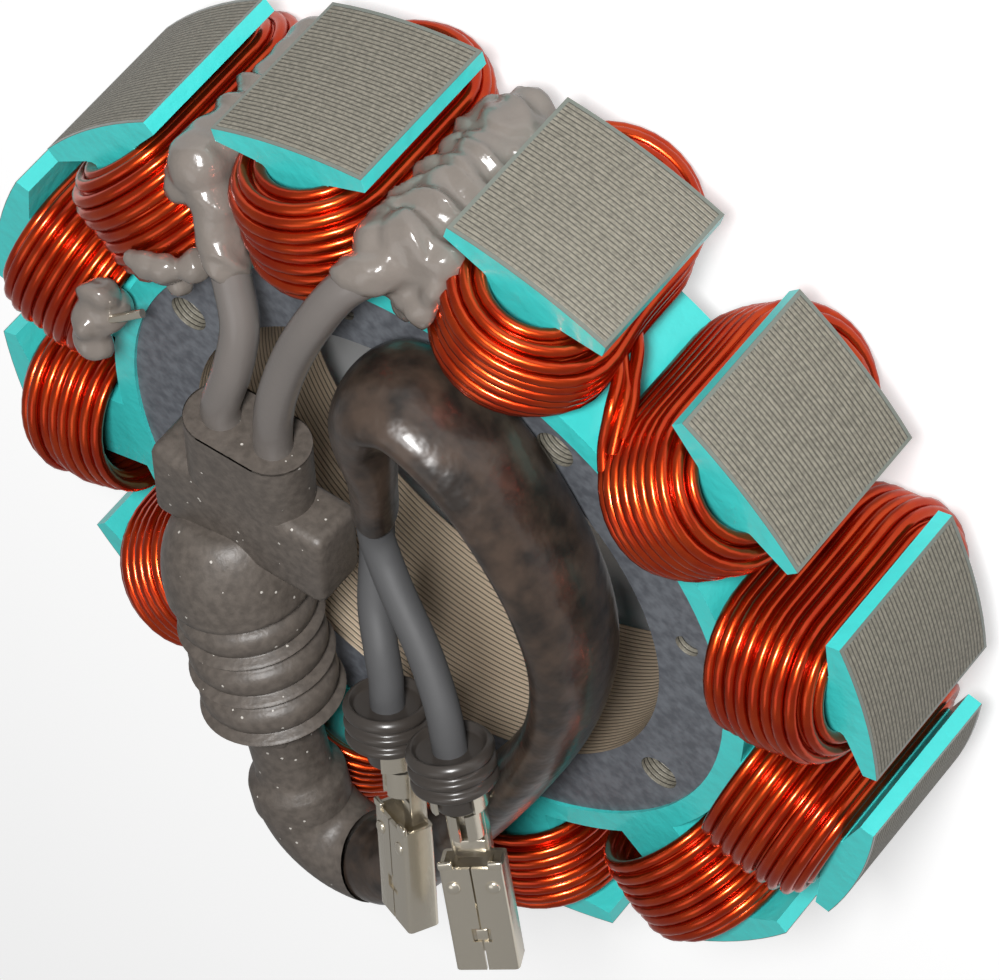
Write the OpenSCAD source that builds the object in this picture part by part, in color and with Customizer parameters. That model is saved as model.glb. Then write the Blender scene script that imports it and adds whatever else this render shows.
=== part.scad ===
/* [Core] */
// Height of the stack of steel laminations
stack_h = 18; // [14:0.5:24]
// Outside diameter over the pole shoes
core_d = 107; // [105:0.5:111]
// Diameter of the pilot bore
bore_d = 56; // [50:0.5:57]
// Diameter at the bottom of the slots, on the steel
slot_d = 75.6; // [74:0.2:77]
// Width of a tooth neck
neck_w = 8; // [7:0.1:9]
// Width of a pole shoe across its tips
shoe_w = 17.4; // [16:0.1:18.4]
// Thickness of a pole shoe at its tips
tip_t = 1.3; // [1:0.1:1.6]
// Thickness of a pole shoe at the neck
shoe_t = 2.8; // [2.4:0.1:3.2]
// Thickness of the powder coat
coat_t = 0.4; // [0.3:0.05:0.6]
// Diameter of the bare end face inside the coat
plate_d = 71.5; // [70:0.1:72.5]

/* [Mounting] */
// Pitch circle of the mounting holes
mount_pcd = 64.6; // [62.6:0.2:65]
// Diameter of a mounting hole
mount_d = 4.2; // [3.4:0.1:4.6]
// Diameter of a stacking dimple between the mounting holes
dimple_d = 2.6; // [2:0.1:3]
// Depth of a stacking dimple
dimple_h = 1; // [0.5:0.1:1.5]

/* [Coils] */
// Diameter of the enamelled wire
wire_d = 1.3; // [1:0.05:1.5]
// Overall width of one coil across the tooth
coil_w = 18; // [17:0.1:18.4]
// Height of the end turns above the lamination stack
end_h = 6; // [5:0.1:7]
// Radius of the rounded shoulder of a coil next to the shoe
shoulder_r = 2.8; // [2:0.1:3.2]
// How much narrower the turn at the slot bottom is
root_drop = 0.5; // [0:0.1:0.8]

/* [Potting] */
// Clearance between the potting and the coils beside it
pot_gap = 0.08; // [0.05:0.01:0.2]
// How far the rounded crest of the potting stands out from the coils
pot_crest = 1; // [0.6:0.1:1.4]
// Diameter of a crimped splice inside the potting
splice_d = 2.6; // [2:0.1:2.8]
// Length of a crimped splice
splice_l = 9; // [6:0.5:12]
// Length of the collar of potting behind the end of a lead
collar_l = 4.5; // [3.5:0.1:5]
// Diameter of the tinned tail of the ground splice
tail_d = 0.9; // [0.6:0.1:1.2]
// Length of the tinned tail of the ground splice
tail_l = 6.2; // [5:0.1:7]

/* [Leads] */
// Diameter of a lead from the coils to the boot
lead_d = 3.9; // [3:0.1:4.4]
// Diameter of a wire from the sleeve to its terminal
wire_od = 3.5; // [2.8:0.1:4]
// Width of the flattened sleeve
sleeve_w = 12.4; // [11:0.2:12.6]
// Thickness of the flattened sleeve
sleeve_t = 6; // [5:0.2:7]

/* [Boot] */
// Spacing of the two leads in the socket of the boot
lead_gap = 6.2; // [5:0.1:6.6]
// Length of the oval socket
socket_l = 8; // [6:0.5:10]
// Wall of the socket around a lead
socket_wall = 1.85; // [1.4:0.05:2.2]
// Depth of the recess in the mouth of the socket
socket_rim = 1.5; // [1:0.1:2]
// Length of the flange slab across the boot
slab_l = 21; // [18:0.5:22]
// Height of the flange slab
slab_h = 6.4; // [5:0.2:8]
// Thickness of the flange slab along the boot
slab_t = 8; // [6:0.5:9]
// Diameter of the bellows ribs
rib_d = 15; // [13:0.2:16]
// Pitch of the bellows ribs
rib_pitch = 5.6; // [5:0.1:6]
// Diameter in the grooves between the ribs
groove_d = 12; // [10:0.2:12.6]
// Diameter of the neck behind the ribs
neck_d = 8; // [7:0.2:9]
// Diameter of the elbow at the end of the boot
elbow_d = 9.8; // [9:0.2:10.4]

/* [Terminals] */
// Diameter of a wire seal over its ribs
seal_d = 8.8; // [7.6:0.2:9.6]
// Length of the ribbed part of a wire seal
seal_l = 5; // [4:0.2:6]
// Length of the tail of a wire seal, held by the terminal
seal_tail_l = 2.4; // [2:0.1:3]
// Diameter of the tail of a wire seal
tail_seal_d = 4.6; // [4:0.1:5]
// Width of the receptacle box
box_w = 6.4; // [5.6:0.1:7]
// Height of the receptacle box
box_h = 3.4; // [3:0.1:4]
// Length of the receptacle box
box_l = 12.5; // [10:0.5:14]
// Thickness of the terminal strip
strip_t = 0.4; // [0.3:0.05:0.5]
// Length of the crimp and neck of a terminal
crimp_l = 7.5; // [6.5:0.5:9]

/* [Hidden] */

// Round surfaces
$fn = 64;
// Small clearance between pieces that seat on each other
seat = 0.05;
// Overlap of a cutting tool past the face that it cuts
past = 1;

// Twelve teeth, the first on the X axis and the rest clockwise from it
teeth = 12;
pitch_a = 360 / teeth;
half_a = pitch_a / 2;
mounts = 4;
mount_a = 15;

// Levels: the part lies on its rear end turns
back_z = end_h;
front_z = back_z + stack_h;
mid_z = back_z + stack_h / 2;
core_r = core_d / 2;
yoke_r = slot_d / 2;
floor_r = yoke_r + coat_t;
wire_r = wire_d / 2;
coil_half = coil_w / 2;

// Winding section: straight turns up the tooth, then the shoulder under the shoe
first_u = floor_r + seat + wire_r;
shoulder_u = core_r - shoe_t - coat_t - seat - wire_r - shoulder_r;
turn_half = coil_half - wire_r;
straight_l = shoulder_u - first_u;
section_l = straight_l + shoulder_r * PI / 2;
turn_n = floor(section_l / wire_d) + 1;
turn_pitch = section_l / (turn_n - 1);
// Turns at the slot bottom that draw in towards the neck
root_turns = 2;
function straight_turn(i) =
  [turn_half - root_drop * pow(max(0, 1 - i / root_turns), 2), first_u + i * turn_pitch];
function shoulder_turn(a) =
  [turn_half - shoulder_r * (1 - cos(a)), shoulder_u + shoulder_r * sin(a)];
turns = [
  for (i = [0 : turn_n - 1])
    let (over = i * turn_pitch - straight_l)
    over <= 0 ? straight_turn(i) : shoulder_turn(over / shoulder_r * 180 / PI)
];
turn_flat = wire_d * 0.4;
arc_z = stack_h / 2 + end_h - coil_half;

// Potting section in a slot, measured from the axis along the middle of the slot
function flank(u) = (u * sin(half_a) - coil_half - pot_gap) / cos(half_a);
pot_z = back_z + 0.5;
pot_u0 = floor_r + pot_gap;
pot_u1 = shoulder_u * cos(half_a) + coil_half * sin(half_a);
pot_top = front_z - 1;
crest_u = pot_u1 + pot_crest;

// Lumps of each small splice, on the front end turns of one coil:
// distance past the slot floor, place across the tooth, height over the stack, radius
ground_coil = 12;
ground_lumps = [[0, -5.9, 5.3, 2.7], [0, -0.4, 5, 1.8], [0.9, -8.3, 4.3, 2]];
neutral_coil = 1;
neutral_lumps = [[3.8, -1.6, 6.4, 1], [1.8, -3.8, 5.8, 1.5], [0.2, -6.6, 4.2, 1.3], [-1.2, -2, 3.9, 1.4]];
// The tail leaves the ground lump towards the first tooth and dips a little
tail_from = [-0.4, -6, 5.4];
tail_az = -128;
tail_dip = 10;

// Route of each soft piece, chosen by hand, in millimetres
lead_1_path = [
  [44.2, -13.6, 26], [40.4, -12.7, 27.5], [36, -11.6, 29.1], [32.3, -10.2, 30.6], [28.8, -6.6, 32.2],
  [26, -2.2, 33], [24, -0.2, 33]
];
lead_2_path = [
  [33.3, -33.7, 27.8], [33.6, -29.6, 30], [31.6, -23.6, 31.6], [28.6, -17, 32.3], [25, -11, 32.9],
  [21.4, -6.4, 33], [19.6, -4.6, 33]
];
sleeve_path = [
  [-29.8, 29.5, 35.2], [-30.7, 26.7, 35.2], [-30, 22, 34.4], [-28.2, 15.4, 33], [-25.6, 6.4, 32.2],
  [-22.4, -2.8, 31.6], [-18.5, -11.4, 30.9], [-13.5, -18.6, 30.6], [-8.1, -23.7, 30.6],
  [-2, -27.2, 30.6], [4, -29.2, 30.6], [10, -30.2, 30.6], [15.8, -29.9, 30.6], [20.8, -27.8, 30.7],
  [22.6, -24.4, 31.4], [19.8, -20, 32], [15.3, -16.4, 32.3], [9.8, -10.7, 32]
];
wire_1_path = [
  [10.4, -9.8, 30.5], [9, -8.35, 30.45], [5, -5.2, 31.6], [0.9, -2.9, 33.9], [-2.9, -2.2, 36.1],
  [-5.6, -1.32, 37.2], [-7.3, -0.4, 37.9]
];
wire_2_path = [
  [8.9, -11.25, 33.45], [7.5, -9.8, 33.4], [2.6, -10.2, 35.2], [-3.4, -10.4, 37.1], [-8.6, -9.8, 38.9],
  [-12, -8.4, 39.9]
];
// Sides of each tube and steps between two points of its route
lead_sides = 14;
sleeve_sides = 20;
wire_sides = 12;
lead_steps = 4;
sleeve_steps = 3;
wire_steps = 4;
// Points of the sleeve's route over which it goes from round to flat
flat_over = 5;
// Turn of the flat section about its route at the narrow end, and the points it takes to turn
fold_roll = 36;
roll_over = 3;

// Boot: place and heading of the socket, and of the bellows behind it
boot_az = 135;
socket_floor = [21.8, -2.4, 33];
bellows_at = [8.3, 14.4, 34];
bellows_az = 147;
bellows_tilt = 2;
elbow_s = 34;
elbow_r = 6.4;
elbow_turn = 105;
elbow_step = 3;
dome_l = 9;
dome_root = 3.4;
ribs = 4;
rib_lip = 0.7;
slab_round = 1.6;

// Terminals: place, heading, rise and roll of each
term_1_at = [-7.5, -0.3, 38];
term_2_at = [-12.2, -8.3, 40];
term_1_az = 147;
term_2_az = 153;
term_1_rise = 14;
term_2_rise = 12;
term_1_roll = 24;
term_2_roll = -30;

// Sweep: frames along a route and the tube around it

function unit(v) = v / norm(v);
// Direction of a smooth line at point i; at its two ends, that of the route there
function ahead(route, line, i) =
  let (end = len(route) - 1)
  i == 0 ? unit(route[1] - route[0])
  : i == len(line) - 1 ? unit(route[end] - route[end - 1])
  : unit(line[i + 1] - line[i - 1]);
function side(d) = unit(cross([0, 0, 1], d));
// Section of width w and height h at c, square to d and turned about it by roll
function ring(c, d, w, h, roll, n) =
  let (
    s = side(d),
    u = cross(d, s),
    flat = s * cos(roll) - u * sin(roll),
    tall = u * cos(roll) + s * sin(roll)
  )
  [for (k = [0 : n - 1]) c + flat * (w / 2 * cos(360 * k / n)) + tall * (h / 2 * sin(360 * k / n))];

// A smooth line through the points of a route, n steps from each point to the next
function between(a, b, c, d, t) =
  b + (c - a) * t / 2 + (2 * a - 5 * b + 4 * c - d) * t * t / 2 + (3 * b - a - 3 * c + d) * t * t * t / 2;
function smooth(p, n) =
  let (last = len(p) - 1)
  concat(
    [for (i = [0 : last - 1], k = [0 : n - 1])
      between(p[max(i - 1, 0)], p[i], p[i + 1], p[min(i + 2, last)], k / n)],
    [p[last]]
  );

// A tube along a route with section width w[i], height h[i] and roll[i] at each point of its smooth line
module tube(route, steps, w, h, roll, n) {
  line = smooth(route, steps);
  last = len(line) - 1;
  points = [for (i = [0 : last]) each ring(line[i], ahead(route, line, i), w[i], h[i], roll[i], n)];
  walls = [
    for (i = [0 : last - 1], k = [0 : n - 1])
      let (a = i * n + k, b = i * n + (k + 1) % n)
      each [[a, b + n, b], [a, a + n, b + n]]
  ];
  start = [for (k = [0 : n - 1]) k];
  end = [for (k = [n - 1 : -1 : 0]) last * n + k];
  polyhedron(points, concat(walls, [start, end]));
}

module round_tube(route, d, n, steps) {
  last = (len(route) - 1) * steps;
  w = [for (i = [0 : last]) d];
  roll = [for (i = [0 : last]) 0];
  tube(route, steps, w, w, roll, n);
}

// A rod from one point to another
module rod(a, b, d) {
  v = b - a;
  translate(a)
    rotate([0, acos(v[2] / norm(v)), atan2(v[1], v[0])])
      cylinder(norm(v), d = d);
}

// Turns a shape that is built along X to a heading and rise
module aim(at, az, rise) {
  translate(at)
    rotate([0, 0, az])
      rotate([0, -rise, 0])
        children();
}

// Steel core

module tooth_2d(grow) {
  tip_u = sqrt(core_r * core_r - shoe_w * shoe_w / 4) - tip_t - grow;
  root_u = core_r - shoe_t - grow;
  tip_half = shoe_w / 2 + grow;
  root_half = neck_w / 2 + grow;
  intersection() {
    circle(core_r, $fn = 180);
    polygon([
      [bore_d / 2 + past, -root_half], [root_u, -root_half], [tip_u, -tip_half],
      [core_r + past, -tip_half], [core_r + past, tip_half],
      [tip_u, tip_half], [root_u, root_half], [bore_d / 2 + past, root_half]
    ]);
  }
}

module tooth_prism(grow) {
  translate([0, 0, back_z - grow])
    linear_extrude(stack_h + 2 * grow)
      tooth_2d(grow);
}

module star_2d(grow) {
  circle(yoke_r + grow, $fn = 180);
  for (k = [0 : teeth - 1])
    rotate(-k * pitch_a)
      tooth_2d(grow);
}

module star_prism(grow) {
  translate([0, 0, back_z - grow])
    linear_extrude(stack_h + 2 * grow)
      star_2d(grow);
}

// One punched sheet: the star with its bore and mounting holes
module sheet_2d() {
  difference() {
    star_2d(0);
    circle(d = bore_d, $fn = 180);
    for (k = [0 : mounts - 1])
      rotate(mount_a + k * 360 / mounts)
        translate([mount_pcd / 2, 0])
          circle(d = mount_d);
  }
}

module lamination_core() {
  color([0.36, 0.35, 0.34])
    difference() {
      translate([0, 0, back_z])
        linear_extrude(stack_h)
          sheet_2d();
      for (k = [0 : mounts - 1])
        rotate([0, 0, mount_a + (k + 0.5) * 360 / mounts])
          translate([mount_pcd / 2, 0, front_z - dimple_h])
            cylinder(dimple_h + past, d = dimple_d);
    }
}

module insulation_coat() {
  color([0.25, 0.77, 0.74])
    difference() {
      star_prism(coat_t);
      star_prism(0);
      translate([0, 0, back_z - past])
        cylinder(stack_h + 2 * past, d = plate_d, $fn = 180);
    }
}

// Coils

module winding_2d() {
  first = turns[0];
  last = turns[len(turns) - 1];
  polygon(concat(
    [[0, first[1] - turn_flat], [first[0], first[1] - turn_flat]],
    turns,
    [[last[0], last[1] + turn_flat], [0, last[1] + turn_flat]]
  ));
  for (t = turns)
    translate(t)
      circle(wire_r, $fn = 24);
}

// One coil on the tooth that lies along X: two half rounds and the straight sides
module coil_on_x() {
  difference() {
    translate([0, 0, mid_z]) {
      for (end = [0, 1])
        mirror([0, 0, end])
          translate([0, 0, arc_z])
            rotate([0, 90, 0])
              rotate([0, 0, 90])
                rotate_extrude(angle = 180)
                  winding_2d();
      translate([0, 0, -arc_z])
        linear_extrude(2 * arc_z)
          for (hand = [0, 1])
            mirror([0, hand, 0])
              mirror([1, -1, 0])
                winding_2d();
    }
    tooth_prism(coat_t);
  }
}

module coil(k) {
  color([0.72, 0.2, 0.07])
    rotate([0, 0, -(k - 1) * pitch_a])
      coil_on_x();
}

// Wire that crosses the foot of a slot from one coil to the next
module jumper(slot, z) {
  u = turns[root_turns][1];
  reach = atan(flank(u) / u);
  rotate([0, 0, -(slot + 0.5) * pitch_a - reach])
    translate([0, 0, z])
      rotate_extrude(angle = 2 * reach, $fn = 180)
        translate([u, 0])
          circle(wire_r, $fn = 24);
}

module coil_jumpers() {
  color([0.72, 0.2, 0.07]) {
    jumper(2, front_z - wire_d);
    for (slot = [3 : teeth - 1])
      jumper(slot, back_z + wire_d);
  }
}

// Potting, splices

module slot_frame(slot) {
  rotate([0, 0, -(slot + 0.5) * pitch_a])
    children();
}

// Filling of one slot: a wedge between the coils with a rounded crest and front end
module slot_fill() {
  crest_r = flank(pot_u1);
  translate([0, 0, pot_z])
    linear_extrude(pot_top - pot_z) {
      polygon([
        [pot_u0, -flank(pot_u0)], [pot_u1, -flank(pot_u1)],
        [pot_u1, flank(pot_u1)], [pot_u0, flank(pot_u0)]
      ]);
      translate([crest_u, 0])
        circle(crest_r);
    }
  translate([crest_u, 0, pot_top])
    sphere(crest_r - 0.6);
}

// Splice of a lead to the coil ends, its end flush with the rear end of the potting
module splice_in(slot) {
  slot_frame(slot)
    translate([(pot_u0 + pot_u1) / 2 + pot_crest, 0, pot_z])
      cylinder(splice_l, d = splice_d);
}

// A collar of potting around the end of a lead
module lead_collar(p) {
  d = unit(p[1] - p[0]);
  translate(p[0])
    rotate([0, 0, atan2(d[1], d[0])])
      rotate([0, 90 - asin(d[2]), 0])
        translate([0, 0, -collar_l])
          cylinder(collar_l, d1 = lead_d + 1.4, d2 = lead_d + 0.8);
}

module lead_potting(slot, lead) {
  a = -(slot + 0.5) * pitch_a;
  crest = [crest_u * cos(a), crest_u * sin(a), pot_top];
  color([0.55, 0.53, 0.5])
    difference() {
      union() {
        slot_frame(slot)
          slot_fill();
        lead_collar(lead);
        // Stem from the crest to the collar
        rod(crest, lead[0] - unit(lead[1] - lead[0]) * collar_l / 2, lead_d);
      }
      splice_in(slot);
    }
}

module lead_splice(slot) {
  color([0.75, 0.74, 0.7])
    splice_in(slot);
}

// Lumps of potting over the end turns of a coil, cut to lie on the turns
module lumps_on(k, lumps) {
  rotate([0, 0, -(k - 1) * pitch_a])
    difference() {
      hull()
        for (b = lumps)
          translate([floor_r + b[0], b[1], front_z + b[2]])
            sphere(b[3], $fn = 20);
      translate([floor_r, 0, mid_z + arc_z])
        rotate([0, 90, 0])
          cylinder(core_r - floor_r, r = coil_half + pot_gap);
    }
}

// Tail of the ground splice, from inside the lump out over the end face
module tail_rod() {
  rotate([0, 0, -(ground_coil - 1) * pitch_a])
    translate([floor_r + tail_from[0], tail_from[1], front_z + tail_from[2]])
      rotate([0, 90 + tail_dip, tail_az])
        cylinder(tail_l, d = tail_d);
}

module ground_splice() {
  color([0.55, 0.53, 0.5])
    difference() {
      lumps_on(ground_coil, ground_lumps);
      tail_rod();
    }
}

module ground_tail() {
  color([0.8, 0.79, 0.75])
    tail_rod();
}

module neutral_splice() {
  color([0.55, 0.53, 0.5])
    lumps_on(neutral_coil, neutral_lumps);
}

// Leads and sleeve

module lead_wire_1() {
  color([0.5, 0.49, 0.47])
    round_tube(lead_1_path, lead_d, lead_sides, lead_steps);
}

module lead_wire_2() {
  color([0.5, 0.49, 0.47])
    round_tube(lead_2_path, lead_d, lead_sides, lead_steps);
}

// Round where it leaves the boot, flattened along the loop, narrow at its open end
module sleeve() {
  last = (len(sleeve_path) - 1) * sleeve_steps;
  round_d = elbow_d - 0.6;
  end_w = wire_od + 0.8;
  end_tall = 2 * wire_od + 0.8;
  flat = [for (i = [0 : last]) min(1, i / sleeve_steps / flat_over)];
  close = [for (i = [0 : last]) max(0, 1 - (last - i) / sleeve_steps)];
  w = [for (i = [0 : last])
    let (full = round_d + flat[i] * (sleeve_t - round_d))
    full + close[i] * (end_w - full)];
  h = [for (i = [0 : last])
    let (full = round_d + flat[i] * (sleeve_w - round_d))
    full + close[i] * (end_tall - full)];
  roll = [for (i = [0 : last])
    fold_roll * min(1, max(0, 1 + roll_over - (last - i) / sleeve_steps) / roll_over)];
  color([0.13, 0.12, 0.11])
    tube(sleeve_path, sleeve_steps, w, h, roll, sleeve_sides);
}

module wire_1() {
  color([0.3, 0.3, 0.3])
    round_tube(wire_1_path, wire_od, wire_sides, wire_steps);
}

module wire_2() {
  color([0.3, 0.3, 0.3])
    round_tube(wire_2_path, wire_od, wire_sides, wire_steps);
}

// Boot

module oval_2d(half, r) {
  for (hand = [-1, 1])
    translate([0, hand * half])
      circle(r, $fn = 40);
  square([2 * r, 2 * half], center = true);
}

module rounded_2d(w, h, r) {
  square([w, h - 2 * r], center = true);
  square([w - 2 * r, h], center = true);
  for (x = [-1, 1], y = [-1, 1])
    translate([x * (w / 2 - r), y * (h / 2 - r)])
      circle(r, $fn = 32);
}

// Extrudes a section that is drawn as height by width along X
module along_x(l) {
  rotate([0, 90, 0])
    linear_extrude(l)
      children();
}

module socket_and_slab() {
  socket_r = lead_d / 2 + socket_wall;
  half = lead_gap / 2;
  aim(socket_floor, boot_az, 0) {
    difference() {
      translate([-socket_rim, 0, 0])
        along_x(socket_l + past)
          oval_2d(half, socket_r);
      translate([-socket_rim - past, 0, 0])
        along_x(socket_rim + past)
          oval_2d(half, socket_r - 0.9);
    }
    translate([socket_l - socket_rim, 0, 0])
      along_x(slab_t)
        rounded_2d(slab_h, slab_l, slab_round);
  }
}

// Section of the dome, ribs and neck, radius against distance along the boot
module bellows_2d() {
  rib_r = rib_d / 2;
  groove_r = groove_d / 2;
  collar_r = elbow_d / 2 + 0.25;
  dome = [for (a = [0 : 15 : 90])
    [dome_root + (rib_r - dome_root) * sin(a), 2 - dome_l * cos(a)]];
  rib = [for (i = [1 : ribs - 1])
    each [
      [groove_r, 2 + i * rib_pitch - rib_pitch + rib_lip],
      [groove_r, 2 + i * rib_pitch - rib_pitch * 0.55],
      [rib_r - 0.5, 2 + i * rib_pitch - rib_pitch * 0.2],
      [rib_r, 2 + i * rib_pitch],
      [rib_r - 0.3, 2 + i * rib_pitch + rib_lip]
    ]];
  lip = [[rib_r - 0.3, 2 + rib_lip]];
  end = 2 + (ribs - 1) * rib_pitch + rib_lip;
  polygon(concat(
    [[0, 2 - dome_l]], dome, lip, rib,
    [[neck_d / 2, end], [neck_d / 2, elbow_s - elbow_step - 0.6], [collar_r, elbow_s - elbow_step],
     [collar_r, elbow_s + 0.4], [0, elbow_s + 0.4]]
  ));
}

module rubber_boot() {
  color([0.29, 0.27, 0.25]) {
    socket_and_slab();
    aim(bellows_at, bellows_az, bellows_tilt)
      rotate([0, 90, 0])
        rotate_extrude()
          bellows_2d();
    elbow_from = bellows_at + elbow_s * [
      cos(bellows_tilt) * cos(bellows_az), cos(bellows_tilt) * sin(bellows_az), sin(bellows_tilt)
    ];
    translate(elbow_from)
      rotate([0, 0, bellows_az])
        translate([0, elbow_r, 0]) {
          rotate([0, 0, -90])
            rotate_extrude(angle = elbow_turn)
              translate([elbow_r, 0])
                circle(d = elbow_d, $fn = 48);
        }
  }
}

// Wire seals and terminals, built along X from the end of the wire

module seal_on_x() {
  low = seal_d / 2 - 0.6;
  high = seal_d / 2;
  lobe = seal_l / 3;
  ribs_2d = [for (i = [0 : 2])
    each [
      [low, (i + 0.15) * lobe], [high, (i + 0.4) * lobe],
      [high, (i + 0.65) * lobe], [low, (i + 0.9) * lobe]
    ]];
  rotate([0, 90, 0])
    rotate_extrude()
      polygon(concat(
        [[0, 0], [wire_od / 2 + 1.6, 0]], ribs_2d,
        [[tail_seal_d / 2, seal_l], [tail_seal_d / 2, seal_l + seal_tail_l], [0, seal_l + seal_tail_l]]
      ));
}

// A rolled barrel of the crimp: a ring with its upper side open
module crimp_ring(x, l, d, gap) {
  difference() {
    translate([x, 0, 0])
      rotate([0, 90, 0])
        cylinder(l, d = d + 2 * strip_t);
    translate([x - past, 0, 0])
      rotate([0, 90, 0])
        cylinder(l + 2 * past, d = d);
    translate([x - past, -gap / 2, 0])
      cube([l + 2 * past, gap, d]);
  }
}

module terminal_on_x() {
  neck_half = box_w * 0.3;
  floor_z = -tail_seal_d / 2 - strip_t;
  grip_x = seal_l + 0.2;
  neck_x = seal_l + seal_tail_l;
  box_x = neck_x + crimp_l;
  barrel_l = 3;
  barrel_d = 2.6;
  // Insulation grip around the tail of the seal
  crimp_ring(grip_x, neck_x - grip_x, tail_seal_d, 2.2);
  // Floor strip and its two folded edges, from the grip to the box
  translate([grip_x, -neck_half, floor_z])
    cube([box_x - grip_x, 2 * neck_half, strip_t]);
  for (hand = [0, 1])
    mirror([0, hand, 0])
      translate([neck_x, neck_half - strip_t, floor_z])
        cube([crimp_l, strip_t, 1.5]);
  // Conductor barrel
  translate([0, 0, floor_z + barrel_d / 2 + strip_t])
    crimp_ring(neck_x + 1.2, barrel_l, barrel_d, 0.3);
  // Receptacle box, with a seam along its top and a square lance window
  translate([box_x, 0, floor_z])
    difference() {
      translate([0, -box_w / 2, 0])
        cube([box_l, box_w, box_h]);
      translate([-past, -box_w / 2 + strip_t, strip_t])
        cube([box_l + 2 * past, box_w - 2 * strip_t, box_h - 2 * strip_t]);
      translate([-past, -0.08, box_h / 2])
        cube([box_l * 0.62, 0.16, box_h]);
      translate([box_l * 0.62, -0.8, box_h / 2])
        cube([1.8, 1.6, box_h]);
    }
}

module at_terminal_1() {
  aim(term_1_at, term_1_az, term_1_rise)
    rotate([term_1_roll, 0, 0])
      children();
}

module at_terminal_2() {
  aim(term_2_at, term_2_az, term_2_rise)
    rotate([term_2_roll, 0, 0])
      children();
}

module wire_seal_1() {
  color([0.1, 0.1, 0.1])
    at_terminal_1()
      seal_on_x();
}

module wire_seal_2() {
  color([0.1, 0.1, 0.1])
    at_terminal_2()
      seal_on_x();
}

module terminal_1() {
  color([0.78, 0.77, 0.74])
    at_terminal_1()
      terminal_on_x();
}

module terminal_2() {
  color([0.78, 0.77, 0.74])
    at_terminal_2()
      terminal_on_x();
}

lamination_core();
insulation_coat();
coil(1);  // coil_01
coil(2);  // coil_02
coil(3);  // coil_03
coil(4);  // coil_04
coil(5);  // coil_05
coil(6);  // coil_06
coil(7);  // coil_07
coil(8);  // coil_08
coil(9);  // coil_09
coil(10);  // coil_10
coil(11);  // coil_11
coil(12);  // coil_12
coil_jumpers();
lead_potting(0, lead_1_path);  // lead_potting_1
lead_potting(1, lead_2_path);  // lead_potting_2
lead_splice(0);  // lead_splice_1
lead_splice(1);  // lead_splice_2
ground_splice();
ground_tail();
neutral_splice();
lead_wire_1();
lead_wire_2();
rubber_boot();
sleeve();
wire_1();
wire_2();
wire_seal_1();
wire_seal_2();
terminal_1();
terminal_2();
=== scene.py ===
# %% [markdown]
# A wound stator, drawn over its CAD frame. The frame gives the places and the sizes;
# the cells below add what a camera sees: single turns of wire, lumps of sealant, soft
# rubber, a flattened sleeve and stamped terminals. Lengths are in metres.

# %% Frame
import random
from math import atan2, cos, pi, radians, sin

import bmesh
import bpy
from mathutils import Matrix, Vector, noise


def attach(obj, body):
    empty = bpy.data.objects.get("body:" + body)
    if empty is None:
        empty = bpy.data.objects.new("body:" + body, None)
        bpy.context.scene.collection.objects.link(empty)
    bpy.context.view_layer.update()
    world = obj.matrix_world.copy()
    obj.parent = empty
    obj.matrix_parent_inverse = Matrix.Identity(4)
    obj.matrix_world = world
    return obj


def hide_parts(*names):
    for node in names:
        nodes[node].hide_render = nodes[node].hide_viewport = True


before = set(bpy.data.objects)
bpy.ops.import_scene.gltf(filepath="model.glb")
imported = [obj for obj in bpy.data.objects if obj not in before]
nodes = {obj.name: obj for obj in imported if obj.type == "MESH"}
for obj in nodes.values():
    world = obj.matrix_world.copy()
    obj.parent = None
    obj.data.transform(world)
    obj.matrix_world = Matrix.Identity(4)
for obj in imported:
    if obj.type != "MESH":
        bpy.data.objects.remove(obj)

scene = bpy.context.scene
MM = 0.001
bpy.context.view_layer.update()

# %% [markdown]
# The camera stands about 0.56 m off with a long lens, and it is rolled, so the table
# plane leans across the picture. Its three axes come from a fit to the tooth corners.

# %% Camera
right = Vector((-0.5877137, -0.5565417, -0.5872427))
down = Vector((-0.7457252, 0.0910876, 0.6599977))
ahead = Vector((-0.3138257, 0.8258114, -0.4685605))
eye = Vector((179.72858, -478.4274, 285.02527)) * MM
lens = bpy.data.cameras.new("camera")
lens.sensor_width = 36
lens.lens = 210.894
lens.clip_start = 0.05
camera = bpy.data.objects.new("camera", lens)
scene.collection.objects.link(camera)
turn = Matrix((right, -down, -ahead)).transposed()
camera.matrix_world = Matrix.Translation(eye) @ turn.to_4x4()
scene.camera = camera
print("camera", round((eye - Vector((0, 0, 0.015))).length, 3), "m from the part")

# %% [markdown]
# Floor and light. The floor is plain and pale, but for a painted shadow where it shows
# through the bore. The light comes from beside the camera, as a flash does, with a broad
# soft fill from above. The world is only a weak light.

# %% Floor and light
def node_material(name):
    material = bpy.data.materials.new(name)
    material.use_nodes = True
    tree = material.node_tree
    return material, tree, tree.nodes["Principled BSDF"]


floor_paint, tree, shader = node_material("floor_white")
shader.inputs["Base Color"].default_value = (0.6, 0.6, 0.6, 1)
shader.inputs["Roughness"].default_value = 0.9
shader.inputs["Specular IOR Level"].default_value = 0.1
shader.inputs["Emission Color"].default_value = (1, 1, 1, 1)
# The lift to white is for what the camera and the shiny pieces see, and lights nothing
paths = tree.nodes.new("ShaderNodeLightPath")
lift = None
lifts = {"Is Camera Ray": 0.58, "Is Glossy Ray": 0.3, "Is Transmission Ray": 0.58}
for ray, strength in lifts.items():
    part = tree.nodes.new("ShaderNodeMath")
    part.operation = "MULTIPLY_ADD"
    tree.links.new(paths.outputs[ray], part.inputs[0])
    part.inputs[1].default_value = strength
    part.inputs[2].default_value = 0
    if lift:
        tree.links.new(lift, part.inputs[2])
    lift = part.outputs["Value"]
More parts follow.
